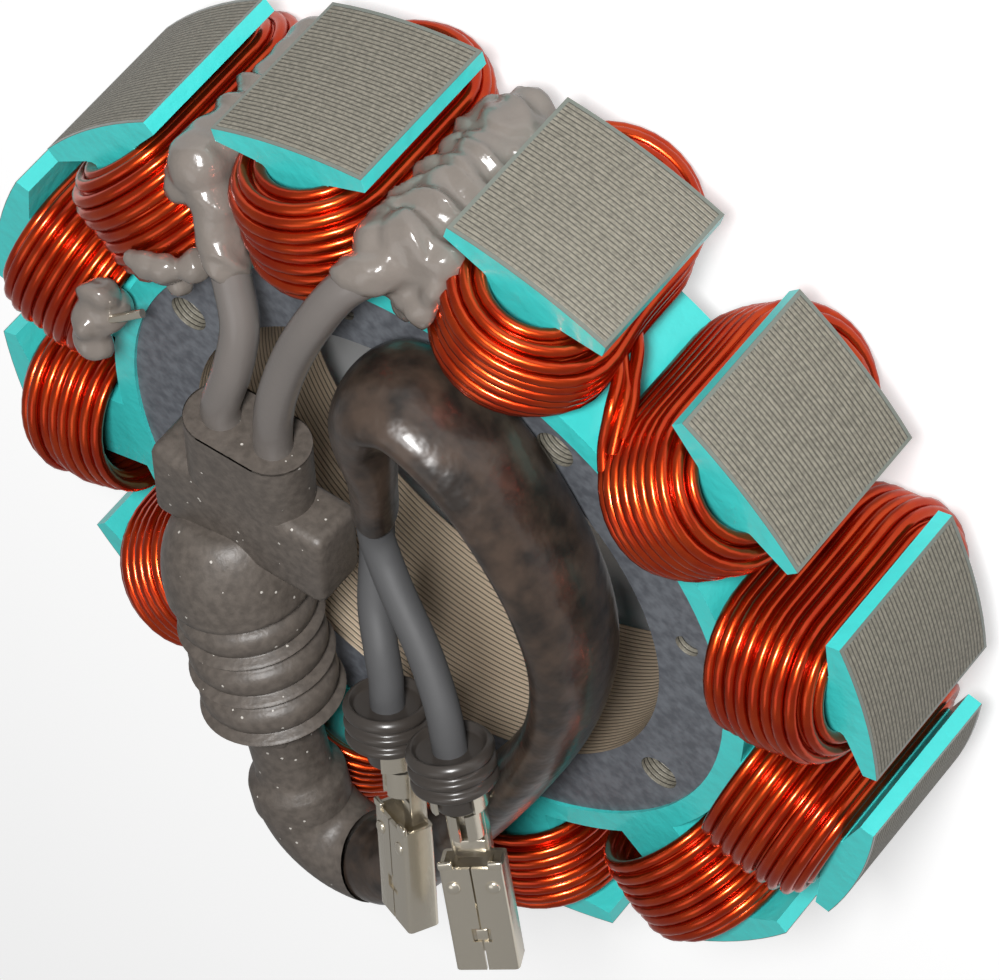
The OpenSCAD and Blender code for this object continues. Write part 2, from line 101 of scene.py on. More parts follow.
# A painted shadow: the patch of floor seen through the bore, in the part's own shade, gets
# no lift, which comes back between two radii
painted_shadow_at = Vector((-10, 26, 0)) * MM
shade_r, open_r = 22 * MM, 30 * MM
where = tree.nodes.new("ShaderNodeTexCoord")
away = tree.nodes.new("ShaderNodeVectorMath")
away.operation = "DISTANCE"
away.inputs[1].default_value = painted_shadow_at
tree.links.new(where.outputs["Object"], away.inputs[0])
open_floor = tree.nodes.new("ShaderNodeMapRange")
open_floor.interpolation_type = "SMOOTHSTEP"
open_floor.inputs["From Min"].default_value = shade_r
open_floor.inputs["From Max"].default_value = open_r
tree.links.new(away.outputs["Value"], open_floor.inputs["Value"])
lifted = tree.nodes.new("ShaderNodeMath")
lifted.operation = "MULTIPLY"
tree.links.new(lift, lifted.inputs[0])
tree.links.new(open_floor.outputs["Result"], lifted.inputs[1])
tree.links.new(lifted.outputs["Value"], shader.inputs["Emission Strength"])
bm = bmesh.new()
bmesh.ops.create_grid(bm, x_segments=1, y_segments=1, size=2)
plane = bpy.data.meshes.new("floor")
bm.to_mesh(plane)
bm.free()
plane.materials.append(floor_paint)
floor = bpy.data.objects.new("floor", plane)
scene.collection.objects.link(floor)

world = bpy.data.worlds.new("world")
world.use_nodes = True
scene.world = world
world.node_tree.nodes["Background"].inputs["Color"].default_value = (1, 1, 1, 1)
# The world is brighter to shiny pieces than as a light, so metal shows a pale room
tree = world.node_tree
paths = tree.nodes.new("ShaderNodeLightPath")
seen = tree.nodes.new("ShaderNodeMapRange")
seen.inputs["To Min"].default_value = 0.12
seen.inputs["To Max"].default_value = 0.3
tree.links.new(paths.outputs["Is Glossy Ray"], seen.inputs["Value"])
tree.links.new(seen.outputs["Result"], tree.nodes["Background"].inputs["Strength"])


def area_light(name, place, target, width, power):
    lamp = bpy.data.lights.new(name, "AREA")
    lamp.shape = "DISK"
    lamp.size = width
    lamp.energy = power
    obj = bpy.data.objects.new(name, lamp)
    scene.collection.objects.link(obj)
    aim = Vector(target) - Vector(place)
    turn = aim.to_track_quat("-Z", "Y").to_matrix().to_4x4()
    obj.matrix_world = Matrix.Translation(place) @ turn


centre = Vector((0, 0, 0.02))
flash = eye - right * 0.06 + down * 0.01 - ahead * 0.02
fill = Vector((0.05, -0.1, 0.8))
area_light("flash", flash, centre, width=0.1, power=4.2)
area_light("fill", fill, centre, width=0.5, power=0.5)
scene.view_settings.view_transform = "Standard"
print("floor, world and two lights")

# %% [markdown]
# Finishes. Each is one procedural material on object coordinates. The steel draws its
# own lamination lines: a groove every half millimetre of height, only on upright faces.

# %% Finishes
def colour_of(r, g, b):
    def linear(c):
        c = c / 255
        return c / 12.92 if c < 0.04045 else ((c + 0.055) / 1.055) ** 2.4
    return (linear(r), linear(g), linear(b), 1)


def finish(name, colour, rough, metal=0.0, coat=0.0):
    material, tree, shader = node_material(name)
    shader.inputs["Base Color"].default_value = colour
    shader.inputs["Roughness"].default_value = rough
    shader.inputs["Metallic"].default_value = metal
    shader.inputs["Coat Weight"].default_value = coat
    shader.inputs["Coat Roughness"].default_value = 0.14
    return material, tree, shader


def add(tree, kind, **values):
    made = tree.nodes.new(kind)
    for key, value in values.items():
        setattr(made, key, value)
    return made


def noise_at(tree, scale, detail=3.0):
    where = add(tree, "ShaderNodeTexCoord")
    made = add(tree, "ShaderNodeTexNoise")
    made.inputs["Scale"].default_value = scale
    made.inputs["Detail"].default_value = detail
    tree.links.new(where.outputs["Object"], made.inputs["Vector"])
    return made.outputs["Fac"]


def mottle(tree, shader, scale, dark, light, lo=0.35, hi=0.65):
    ramp = add(tree, "ShaderNodeValToRGB")
    ramp.color_ramp.elements[0].position = lo
    ramp.color_ramp.elements[0].color = dark
    ramp.color_ramp.elements[1].position = hi
    ramp.color_ramp.elements[1].color = light
    tree.links.new(noise_at(tree, scale), ramp.inputs["Fac"])
    tree.links.new(ramp.outputs["Color"], shader.inputs["Base Color"])
    return ramp


def bumpy(tree, shader, scale, depth, strength):
    bump = add(tree, "ShaderNodeBump")
    bump.inputs["Distance"].default_value = depth
    bump.inputs["Strength"].default_value = strength
    tree.links.new(noise_at(tree, scale), bump.inputs["Height"])
    tree.links.new(bump.outputs["Normal"], shader.inputs["Normal"])


def maths(tree, operation, first, second=None):
    made = add(tree, "ShaderNodeMath", operation=operation)
    for socket, value in zip(made.inputs, (first, second)):
        if value is None:
            continue
        if isinstance(value, (int, float)):
            socket.default_value = value
        else:
            tree.links.new(value, socket)
    return made.outputs["Value"]


def blend(tree, factor, first, second):
    """A mix of two colours, each written out or taken from a socket."""
    made = add(tree, "ShaderNodeMix", data_type="RGBA")
    tree.links.new(factor, made.inputs["Factor"])
    for name, colour in (("A", first), ("B", second)):
        if isinstance(colour, tuple):
            made.inputs[name].default_value = colour
        else:
            tree.links.new(colour, made.inputs[name])
    return made.outputs["Result"]


def from_axis(tree):
    """Distance of a point of the surface from the part's axis."""
    where = add(tree, "ShaderNodeTexCoord")
    axes = add(tree, "ShaderNodeSeparateXYZ")
    tree.links.new(where.outputs["Object"], axes.inputs["Vector"])
    squares = [maths(tree, "MULTIPLY", axes.outputs[axis], axes.outputs[axis]) for axis in "XY"]
    return maths(tree, "SQRT", maths(tree, "ADD", *squares))


def dust(tree, shader, under, scale, colour, spot_r=0.13, rarity=0.7):
    """Pale specks: small spots in a few of the cells of a Voronoi pattern."""
    where = add(tree, "ShaderNodeTexCoord")
    cells = add(tree, "ShaderNodeTexVoronoi")
    cells.inputs["Scale"].default_value = scale
    tree.links.new(where.outputs["Object"], cells.inputs["Vector"])
    chance = add(tree, "ShaderNodeSeparateColor")
    tree.links.new(cells.outputs["Color"], chance.inputs["Color"])
    spot = maths(tree, "LESS_THAN", cells.outputs["Distance"], spot_r)
    few = maths(tree, "GREATER_THAN", chance.outputs["Red"], rarity)
    specks = blend(tree, maths(tree, "MULTIPLY", spot, few), under, colour)
    tree.links.new(specks, shader.inputs["Base Color"])


sheet_pitch = 0.5 * MM
groove_slope = 5
steel, tree, shader = finish("steel_lamination", colour_of(140, 133, 118), 0.5, 0.15)
shader.inputs["Specular IOR Level"].default_value = 0.25
where = add(tree, "ShaderNodeTexCoord")
axes = add(tree, "ShaderNodeSeparateXYZ")
facing = add(tree, "ShaderNodeSeparateXYZ")
tree.links.new(where.outputs["Object"], axes.inputs["Vector"])
tree.links.new(where.outputs["Normal"], facing.inputs["Vector"])
upright = maths(tree, "LESS_THAN", maths(tree, "ABSOLUTE", facing.outputs["Z"]), 0.5)
step = maths(tree, "PINGPONG", maths(tree, "MULTIPLY", axes.outputs["Z"], 1 / sheet_pitch), 0.5)
flank = maths(tree, "SMOOTH_MIN", maths(tree, "MULTIPLY", step, groove_slope), 1.0)
groove = maths(tree, "MULTIPLY", flank, upright)
line = maths(tree, "ADD", groove, maths(tree, "SUBTRACT", 1.0, upright))
edge_grey = mottle(tree, shader, 2500, colour_of(122, 118, 107), colour_of(148, 143, 130))
oxide = mottle(tree, shader, 900, colour_of(94, 97, 103), colour_of(118, 122, 128))
# The bore is painted paler and warmer than the ground shoes: painted light and painted reflection
# on the bare steel of its wall
painted_glow_r = 30 * MM
inside = maths(tree, "LESS_THAN", from_axis(tree), painted_glow_r)
edges = blend(tree, inside, edge_grey.outputs["Color"], colour_of(188, 170, 147))
skin = blend(tree, upright, oxide.outputs["Color"], edges)
shade = blend(tree, line, colour_of(80, 77, 71), skin)
tree.links.new(shade, shader.inputs["Base Color"])
bump = add(tree, "ShaderNodeBump")
bump.inputs["Distance"].default_value = 0.08 * MM
tree.links.new(groove, bump.inputs["Height"])
tree.links.new(bump.outputs["Normal"], shader.inputs["Normal"])

# The coat was ground off the outer faces of the shoes with the steel
powder = colour_of(66, 210, 206)
teal, tree, shader = finish("teal_coat", powder, 0.3, coat=0.3)
bumpy(tree, shader, 450, 0.25 * MM, 0.6)
ground_r = 53.42 * MM
ground = maths(tree, "GREATER_THAN", from_axis(tree), ground_r)
worn = blend(tree, ground, powder, colour_of(112, 118, 110))
tree.links.new(worn, shader.inputs["Base Color"])

copper, tree, shader = finish("copper_enamel", colour_of(196, 60, 16), 0.27, 0.95, 0.3)
mottle(tree, shader, 260, colour_of(188, 50, 12), colour_of(206, 70, 20))
sealant, tree, shader = finish("grey_sealant", colour_of(124, 116, 109), 0.22, coat=0.4)
bumpy(tree, shader, 500, 0.3 * MM, 0.6)
tin, tree, shader = finish("tin", colour_of(222, 214, 198), 0.24, 0.95)
bumpy(tree, shader, 900, 0.05 * MM, 0.5)
grey_lead, tree, shader = finish("grey_lead", colour_of(114, 108, 104), 0.32, coat=0.3)
bumpy(tree, shader, 700, 0.1 * MM, 0.5)
rubber, tree, shader = finish("boot_rubber", colour_of(94, 87, 80), 0.45)
dull = mottle(tree, shader, 1100, colour_of(84, 77, 71), colour_of(100, 92, 85))
dust(tree, shader, dull.outputs["Color"], 900, colour_of(200, 195, 187))
bumpy(tree, shader, 1500, 0.12 * MM, 0.5)
black, tree, shader = finish("black_sleeve", colour_of(52, 43, 37), 0.34, coat=0.15)
mottle(tree, shader, 320, colour_of(38, 32, 28), colour_of(70, 57, 48))
bumpy(tree, shader, 220, 0.7 * MM, 0.6)
jacket, tree, shader = finish("wire_jacket", colour_of(80, 80, 81), 0.6)
bumpy(tree, shader, 900, 0.06 * MM, 0.5)
seal_black, tree, shader = finish("seal_rubber", colour_of(60, 55, 51), 0.28)
print("finishes:", len(bpy.data.materials))

# %% [markdown]
# Small helpers. A finished piece sits at the origin with its place in the mesh, takes its
# finish and rides the one body of the frame.

# %% Helpers
def keep(obj, slot, *stands_for):
    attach(obj, "root")
    if stands_for:
        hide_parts(*stands_for)
    return obj


def piece(name, bm, material, slot, *stands_for, crease=38):
    bmesh.ops.recalc_face_normals(bm, faces=bm.faces[:])
    for face in bm.faces:
        face.smooth = True
    for edge in bm.edges:
        edge.smooth = len(edge.link_faces) == 2 and edge.calc_face_angle(0) < radians(crease)
    mesh = bpy.data.meshes.new(name)
    bm.to_mesh(mesh)
    bm.free()
    mesh.materials.append(material)
    obj = bpy.data.objects.new(name, mesh)
    scene.collection.objects.link(obj)
    return keep(obj, slot, *stands_for)


def through(points, steps):
    """A smooth line through given points."""
    made = []
    for i in range(len(points) - 1):
        a, b = points[max(i - 1, 0)], points[i]
        c, d = points[i + 1], points[min(i + 2, len(points) - 1)]
        for k in range(steps):
            t = k / steps
            made.append(0.5 * ((2 * b) + (c - a) * t + (2 * a - 5 * b + 4 * c - d) * t * t
                               + (3 * b - a - 3 * c + d) * t * t * t))
    return made + [points[-1]]


def wire(name, lines, width, material, slot, *stands_for, sides=4):
    """Round wire along one or more lines, as a curve with a round bevel."""
    curve = bpy.data.curves.new(name, "CURVE")
    curve.dimensions = "3D"
    curve.bevel_depth = width / 2
    curve.bevel_resolution = sides
    curve.use_fill_caps = True
    for line in lines:
        spline = curve.splines.new("POLY")
        spline.points.add(len(line) - 1)
        for point, place in zip(spline.points, line):
            point.co = (*place, 1)
    curve.materials.append(material)
    obj = bpy.data.objects.new(name, curve)
    scene.collection.objects.link(obj)
    return keep(obj, slot, *stands_for)


def around(angle):
    return Matrix.Rotation(radians(angle), 4, "Z")


def mm(*rows):
    return [Vector(row) * MM for row in rows]


def verts_of(geom):
    return [g for g in geom if isinstance(g, bmesh.types.BMVert)]


def edges_of(geom):
    return [g for g in geom if isinstance(g, bmesh.types.BMEdge)]


def edges_at(verts):
    return list({e for v in verts for e in v.link_edges})


def bell(x):
    """One at zero, falling off to either side."""
    return 2.7 ** (-x * x)


print("helpers ready")

# %% [markdown]
# Leads and loop come first, because everything else makes room for them. The points
# are those of the CAD routes. Each lead runs a little way on into the boot.

# %% Leads
lead_d = 3.9 * MM
lead_1 = mm((44.2, -13.6, 26), (40.4, -12.7, 27.5), (36, -11.6, 29.1), (32.3, -10.2, 30.6),
            (28.8, -6.6, 32.2), (26, -2.2, 33), (24, -0.2, 33), (20.4, 3.4, 33))
lead_2 = mm((33.3, -33.7, 27.8), (33.6, -29.6, 30), (31.6, -23.6, 31.6), (28.6, -17, 32.3),
            (25, -11, 32.9), (21.4, -6.4, 33), (19.6, -4.6, 33), (17.4, -2.4, 33))


def length_of(line):
    return sum((b - a).length for a, b in zip(line, line[1:]))


lead_line_1 = through(lead_1, 8)
lead_line_2 = through(lead_2, 8)
lead_a = wire("lead_1", [lead_line_1], lead_d, grey_lead, "grey_lead", "lead_wire_1", sides=8)
lead_b = wire("lead_2", [lead_line_2], lead_d, grey_lead, "grey_lead", "lead_wire_2", sides=8)
print("leads", round(length_of(lead_line_1), 4), round(length_of(lead_line_2), 4), "m")

# %% [markdown]
# The sleeve is soft tubing pressed flat: round at the boot, then a standing oval, and
# narrow where the two wires come out. Rings are set along the line and bridged, and the
# open end is turned in to show the wall.

# %% Sleeve
sleeve_points = mm(
    (-29.8, 29.5, 35.2), (-30.7, 26.7, 35.2), (-30, 22, 34.4), (-28.2, 15.4, 33),
    (-25.6, 6.4, 32.2), (-22.4, -2.8, 31.6), (-18.5, -11.4, 30.9), (-13.5, -18.6, 30.6),
    (-8.1, -23.7, 30.6), (-2, -27.2, 30.6), (4, -29.2, 30.6), (10, -30.2, 30.6),
    (15.8, -29.9, 30.6), (20.8, -27.8, 30.7), (22.6, -24.4, 31.4), (19.8, -20, 32),
    (15.3, -16.4, 32.3), (9.8, -10.7, 32))
sleeve_steps = 4
sleeve_line = through(sleeve_points, sleeve_steps)
round_d, flat_t, tall = 9.2 * MM, 6 * MM, 12.4 * MM
end_t, end_tall = 4.7 * MM, 8.0 * MM
fold_roll = radians(36)
# Places along the route, in points: from the boot on for the first, from the end for the rest
flat_by = 5
close_from, close_over = 3.2, 2.6
swell_at, swell_over, swell = 2.2, 1.4, 0.3
roll_from, roll_over = 4, 3


def sleeve_section(at):
    """Thickness, height and roll of the sleeve at a point number along its route."""
    flat = min(1.0, at / flat_by)
    thick = round_d + flat * (flat_t - round_d)
    high = round_d + flat * (tall - round_d)
    left = len(sleeve_points) - 1 - at
    closing = min(1.0, max(0.0, (close_from - left) / close_over))
    soft = 0.05 * noise.noise(Vector((at * 0.8, 0.5, 3)))
    soft += swell * max(0.0, 1 - abs(left - swell_at) / swell_over)
    roll = fold_roll * min(1.0, max(0.0, (roll_from - left) / roll_over))
    return ((thick + closing * (end_t - thick)) * (1 + soft),
            high + closing * (end_tall - high), roll)


def frame_along(line, i):
    ahead = (line[min(i + 1, len(line) - 1)] - line[max(i - 1, 0)]).normalized()
    side = Vector((0, 0, 1)).cross(ahead).normalized()
    return ahead, side, ahead.cross(side)


def oval_ring(bm, line, i, thick, high, roll, segments=24):
    ahead, side, up = frame_along(line, i)
    flat = side * cos(roll) - up * sin(roll)
    stand = up * cos(roll) + side * sin(roll)
    turn = Matrix((flat * thick / 2, stand * high / 2, ahead)).transposed().to_4x4()
    place = Matrix.Translation(line[i]) @ turn
    ring = bmesh.ops.create_circle(bm, segments=segments, radius=1, matrix=place)["verts"]
    return edges_at(ring)


def bridged_tube(bm, line, section):
    before = None
    for i in range(len(line)):
        edges = oval_ring(bm, line, i, *section(i))
        if before:
            bmesh.ops.bridge_loops(bm, edges=before + edges)
        before = edges
    return before


bm = bmesh.new()
# The last step stays bare, so that the wires show from the turned-in rim on
drawn = sleeve_line[:-1]
last_edges = bridged_tube(bm, drawn, lambda i: sleeve_section(i / sleeve_steps))
rim_share, rim_depth = 0.93, 3
ahead_end = frame_along(drawn, len(drawn) - 1)[0]
inner = bmesh.ops.extrude_edge_only(bm, edges=last_edges)["geom"]
bmesh.ops.scale(bm, vec=(rim_share, rim_share, rim_share), space=Matrix.Translation(-drawn[-1]),
                verts=verts_of(inner))
deep = bmesh.ops.extrude_edge_only(bm, edges=edges_of(inner))["geom"]
bmesh.ops.translate(bm, vec=-ahead_end * rim_depth * MM, verts=verts_of(deep))
# Where the sleeve doubles back its wall is pushed in
bm.normal_update()
pinch = Vector((18.4, -21.6, 34.4)) * MM
pinch_r, pinch_depth = 2 * MM, 1.2
for vert in bm.verts:
    vert.co -= vert.normal * pinch_depth * MM * bell((vert.co - pinch).length / pinch_r)
sleeve = piece("sleeve_tube", bm, black, "black_sleeve", "sleeve")
smooth = sleeve.modifiers.new("smooth", "SUBSURF")
smooth.levels = smooth.render_levels = 1
print("sleeve", round(length_of(sleeve_line), 4), "m,", len(sleeve.data.polygons), "faces")

# %% [markdown]
# Two thin wires leave the sleeve side by side and rise to their seals. Each starts a
# little way inside the sleeve and ends a little way inside its seal. By the sleeve the
# CAD route is eased a little, so that the wires come out without a kink.

# %% Wires
wire_d = 3.5 * MM
wire_1 = mm((13.2, -12.7, 30.6), (10.4, -9.8, 30.5), (7.8, -7.3, 30.7), (5, -5.2, 31.6),
            (0.9, -2.9, 33.9), (-2.9, -2.2, 36.1), (-5.6, -1.32, 37.2), (-7.3, -0.4, 37.9),
            (-8.93, 0.66, 38.38))
wire_2 = mm((11.7, -14.15, 33.55), (8.9, -11.3, 33.5), (6.2, -10.3, 34), (2.6, -10.2, 35.2),
            (-3.4, -10.4, 37.1), (-8.6, -9.8, 38.9), (-12, -8.4, 39.9), (-13.74, -7.51, 40.32))
wire_a = wire("wire_lower", [through(wire_1, 6)], wire_d, jacket, "wire_jacket", "wire_1", sides=6)
wire_b = wire("wire_upper", [through(wire_2, 6)], wire_d, jacket, "wire_jacket", "wire_2", sides=6)
print("wires", round(length_of(wire_1), 4), round(length_of(wire_2), 4), "m")

# %% [markdown]
# Seals and terminals share a frame: X runs from the end of the wire to the tip. The
# seal is a turned profile, spun about X.

# %% Seals
def aimed(place, heading, rise, roll):
    turn = around(heading) @ Matrix.Rotation(radians(-rise), 4, "Y")
    turn = turn @ Matrix.Rotation(radians(roll), 4, "X")
    return Matrix.Translation(Vector(place) * MM) @ turn


term_1 = aimed((-7.5, -0.3, 38), 147, 14, 24)
term_2 = aimed((-12.2, -8.3, 40), 153, 12, -30)


def spun(bm, profile, steps=48):
    """Spins a profile of (distance, radius) pairs in millimetres about X."""
    verts = [bm.verts.new(Vector((x, 0, r)) * MM) for x, r in profile]
    edges = [bm.edges.new(pair) for pair in zip(verts, verts[1:])]
    bmesh.ops.spin(bm, geom=verts + edges, cent=(0, 0, 0), axis=(1, 0, 0), angle=2 * pi,
                   steps=steps, use_merge=True)


def rounded(points, r):
    """Rounds the corners of a profile by cutting each twice."""
    made = [points[0]]
    for a, b, c in zip(points, points[1:], points[2:]):
        for t0, t1 in ((1, 0), (0.3, 0.3), (0, 1)):
            da = Vector(a) - Vector(b)
            dc = Vector(c) - Vector(b)
            la = min(r, da.length * 0.45)
            lc = min(r, dc.length * 0.45)
            made.append(tuple(Vector(b) + da.normalized() * la * t0 + dc.normalized() * lc * t1))
    return made + [points[-1]]


seal_profile = [(0.9, 1.7), (0.9, 3.3), (0, 3.7), (0.25, 4.1), (0.7, 4.4), (1.2, 4.4),
                (1.5, 3.8), (1.9, 3.8), (2.2, 4.4), (2.8, 4.4), (3.1, 3.8), (3.5, 3.8),
                (3.8, 4.35), (4.4, 4.35), (4.9, 3.4), (5.0, 2.3), (7.4, 2.3), (7.4, 0.02)]
for number, place in ((1, term_1), (2, term_2)):
    bm = bmesh.new()
    spun(bm, rounded(seal_profile, 0.2))
    bmesh.ops.transform(bm, matrix=place, verts=bm.verts[:])
    piece(f"seal_{number}", bm, seal_black, "seal_rubber", f"wire_seal_{number}", crease=60)
print("two seals")

# %% [markdown]
# A terminal is stamped from one strip: a grip round the seal, a barrel round the
# conductor, a neck with two upright edges and a box. The box starts as a cube without
# ends; planes cut its top for the seam and the lance window, and solidify gives the gauge.

# %% Terminals
gauge = 0.38 * MM


def soften(bm, edges, width):
    bmesh.ops.bevel(bm, geom=edges, offset=width * MM, segments=3, profile=0.5,
                    affect="EDGES", material=-1)


def block(bm, lo, hi, bevel=0.0):
    """A box between two corners in millimetres, with its edges rounded."""
    lo, hi = Vector(lo) * MM, Vector(hi) * MM
    place = Matrix.Translation((lo + hi) / 2) @ Matrix.Diagonal((*(hi - lo), 1))
    made = bmesh.ops.create_cube(bm, size=1, matrix=place)["verts"]
    if bevel:
        soften(bm, edges_at(made), bevel)


# The box, with half the seam between its folded sides and the window of its lance
box_lo, box_hi = (14.9, -3.2, -2.7), (27.4, 3.2, 0.7)
seam_half = 0.09
window_x0, window_x1, window_half = 22.3, 23.9, 0.95


def receptacle():
    bm = bmesh.new()
    block(bm, box_lo, box_hi)
    ends = [f for f in bm.faces if abs(f.normal.x) > 0.9]
    bmesh.ops.delete(bm, geom=ends, context="FACES")
    corners = [e for e in bm.edges if len(e.link_faces) == 2]
    soften(bm, corners, 0.45)
    for x in (21.9, window_x0, window_x1):
        bmesh.ops.bisect_plane(bm, geom=bm.verts[:] + bm.edges[:] + bm.faces[:],
                               plane_co=(x * MM, 0, 0), plane_no=(1, 0, 0))
    for y in (-window_half, -seam_half, seam_half, window_half):
        bmesh.ops.bisect_plane(bm, geom=bm.verts[:] + bm.edges[:] + bm.faces[:],
                               plane_co=(0, y * MM, 0), plane_no=(0, 1, 0))
    gone = []
    for face in bm.faces:
        c = face.calc_center_median() / MM
        in_window = window_x0 < c.x < window_x1 and abs(c.y) < window_half
        if c.z > 0.5 and (abs(c.y) < seam_half or in_window):
            gone.append(face)
    bmesh.ops.delete(bm, geom=gone, context="FACES")
    bmesh.ops.recalc_face_normals(bm, faces=bm.faces[:])
    bmesh.ops.solidify(bm, geom=bm.faces[:], thickness=gauge)
    return bm


def rolled(bm, x0, x1, radius, centre_z, gap):
    """A barrel with its upper side open: a line spun part of the way round X, thickened."""
    start = pi / 2 + gap
    y, z = cos(start) * radius * MM, sin(start) * radius * MM
    verts = [bm.verts.new((x * MM, y, z)) for x in (x0, x1)]
    edge = bm.edges.new(verts)
    bmesh.ops.spin(bm, geom=verts + [edge], cent=(0, 0, 0), axis=(1, 0, 0),
                   angle=2 * pi - 2 * gap, steps=20)
    faces = [f for f in bm.faces
             if all(abs(v.co.yz.length - radius * MM) < 1e-6 for v in f.verts)]
    shell = bmesh.ops.solidify(bm, geom=faces, thickness=gauge)
    moved = {v for f in faces for v in f.verts} | set(verts_of(shell["geom"]))
    bmesh.ops.translate(bm, vec=(0, 0, centre_z * MM), verts=list(moved))


for number, place in ((1, term_1), (2, term_2)):
    bm = receptacle()
    # Floor of the neck, then on each side an upright edge, a tab on the box and a round pip
    block(bm, (5.3, -1.9, -2.72), (15.2, 1.9, -2.34), 0.12)
    for side in (-1, 1):
        block(bm, (7.6, side * 1.72 - 0.19, -2.6), (15.2, side * 1.72 + 0.19, -0.9), 0.12)
        block(bm, (14.2, side * 2.5 - 0.75, 0.2), (15.1, side * 2.5 + 0.75, 0.75), 0.2)
        pip = bmesh.ops.create_uvsphere(bm, u_segments=16, v_segments=10, radius=0.75 * MM)
        bmesh.ops.scale(bm, vec=(1, 1, 0.5), verts=pip["verts"])
        bmesh.ops.translate(bm, vec=Vector((17.2, side * 2.0, 0.68)) * MM, verts=pip["verts"])
    # The lance in its window and a bridge across the neck
    block(bm, (22.5, -0.6, 0.15), (23.9, 0.6, 0.55), 0.1)
    block(bm, (12.6, -1.6, -1.3), (14.7, 1.6, -0.9), 0.15)
    # The grip round the seal and the barrel round the conductor
    rolled(bm, 5.3, 7.3, 2.5, 0, 0.75)
    rolled(bm, 8.6, 11.6, 1.5, -1.0, 0.2)
    bmesh.ops.transform(bm, matrix=place, verts=bm.verts[:])
    piece(f"receptacle_{number}", bm, tin, "tin", f"terminal_{number}")
print("two terminals")

# %% [markdown]
# The boot is one moulding. Its socket is a drawn-out circle with the mouth inset, the
# flange is a rounded slab, and the dome, ribs, neck and collar are one spun profile. The
# elbow is a circle spun about the bend. All parts end up in one mesh.

# %% Boot
socket_frame = aimed((21.8, -2.4, 33), 135, 0, 0)
bellows_frame = aimed((8.3, 14.4, 34), 147, 2, 0)
socket_r, socket_spread = 3.8 * MM, 3.1 * MM
socket_front, socket_l = -1.5 * MM, 8.5 * MM
lip, lip_depth = 0.9 * MM, 0.6 * MM
slab_lo, slab_hi, slab_round = (6.5, -10.5, -3.2), (16.5, 10.5, 3.2), 1.1
segments = 44
bm = bmesh.new()
oval = bmesh.ops.create_circle(bm, cap_ends=True, segments=segments, radius=socket_r,
                               matrix=around(180 / segments))["verts"]
for side in (-1, 1):
    half = [v for v in oval if v.co.y * side > 0]
    bmesh.ops.translate(bm, vec=(0, side * socket_spread, 0), verts=half)
bmesh.ops.rotate(bm, cent=(0, 0, 0), matrix=Matrix.Rotation(radians(-90), 3, "Y"), verts=oval)
bmesh.ops.translate(bm, vec=(socket_front, 0, 0), verts=oval)
mouth = bm.faces[:]
outline = list(mouth[0].edges)
bmesh.ops.inset_region(bm, faces=mouth, thickness=lip)
sunk = bmesh.ops.extrude_discrete_faces(bm, faces=mouth)["faces"]
bmesh.ops.translate(bm, vec=(lip_depth, 0, 0), verts=sunk[0].verts[:])
wall = bmesh.ops.extrude_edge_only(bm, edges=outline)["geom"]
bmesh.ops.translate(bm, vec=(socket_l, 0, 0), verts=verts_of(wall))
rim = [e for e in bm.edges if e.calc_face_angle(0) > 1
       and all(abs(v.co.x - socket_front) < 1e-6 for v in e.verts)]
soften(bm, rim, 0.3)
block(bm, slab_lo, slab_hi, slab_round)
bmesh.ops.transform(bm, matrix=socket_frame, verts=bm.verts[:])
made = set(bm.verts)

# Profile along the bellows: a quarter ellipse, three ribs with lips, neck and collar
dome_l, dome_r, dome_rise = 9, 3.4, 4.2
rib_pitch = 5.6
dome = [(-7, 0.02)]
for a in range(0, 91, 10):
    dome.append((2 - dome_l * cos(radians(a)), dome_r + dome_rise * sin(radians(a))))
ribs = [(2.5, 7.6), (2.8, 7.3), (2.9, 6.3)]
for i in range(1, 4):
    s = 2 + rib_pitch * i
    ribs += [(s - 4.4, 5.9), (s - 3.9, 6.0)]
    for a in range(15, 166, 25):
        ribs.append((s - 2.1 - 1.6 * cos(radians(a)), 6.1 + 1.1 * sin(radians(a))))
    ribs += [(s - 0.35, 6.5), (s - 0.2, 7.3), (s + 0.15, 7.55), (s + 0.5, 7.3), (s + 0.65, 6.3)]
neck = [(19.6, 4.3), (20.2, 4.0), (29.6, 4.0), (30.4, 4.2), (31, 5.0), (31.6, 5.15),
        (34.4, 5.15), (34.4, 0.02)]
spun(bm, dome + ribs + neck, steps=56)
bmesh.ops.transform(bm, matrix=bellows_frame, verts=[v for v in bm.verts if v not in made])
made = set(bm.verts)

# The elbow starts just inside the collar
bend_r, elbow_r, bend = 6.4 * MM, 4.9 * MM, radians(105)
elbow = bmesh.ops.create_circle(bm, segments=32, radius=elbow_r,
                                matrix=Matrix.Rotation(radians(90), 4, "Y"))["verts"]
bmesh.ops.spin(bm, geom=elbow + edges_at(elbow), cent=(0, bend_r, 0), axis=(0, 0, 1),
               angle=bend, steps=16)
start = bellows_frame @ Vector((34 * MM, 0, 0))
bmesh.ops.transform(bm, matrix=Matrix.Translation(start) @ around(147),
                    verts=[v for v in bm.verts if v not in made])
# A small round moulding mark on the neck
mark = bmesh.ops.create_uvsphere(bm, u_segments=16, v_segments=8, radius=0.9 * MM)["verts"]
bmesh.ops.scale(bm, vec=(1, 1, 0.35), verts=mark)
mark_frame = bellows_frame @ Matrix.Rotation(radians(-38), 4, "X")
mark_frame = mark_frame @ Matrix.Translation((22.4 * MM, 0, 3.95 * MM))
bmesh.ops.transform(bm, matrix=mark_frame, verts=mark)
boot = piece("boot", bm, rubber, "boot_rubber", "rubber_boot", crease=50)
print("boot", len(boot.data.polygons), "faces")

# %% [markdown]
# The leads and the loop stay as drawn above; this cell only prints.

# %% Cords
print("leads and loop stay as drawn")

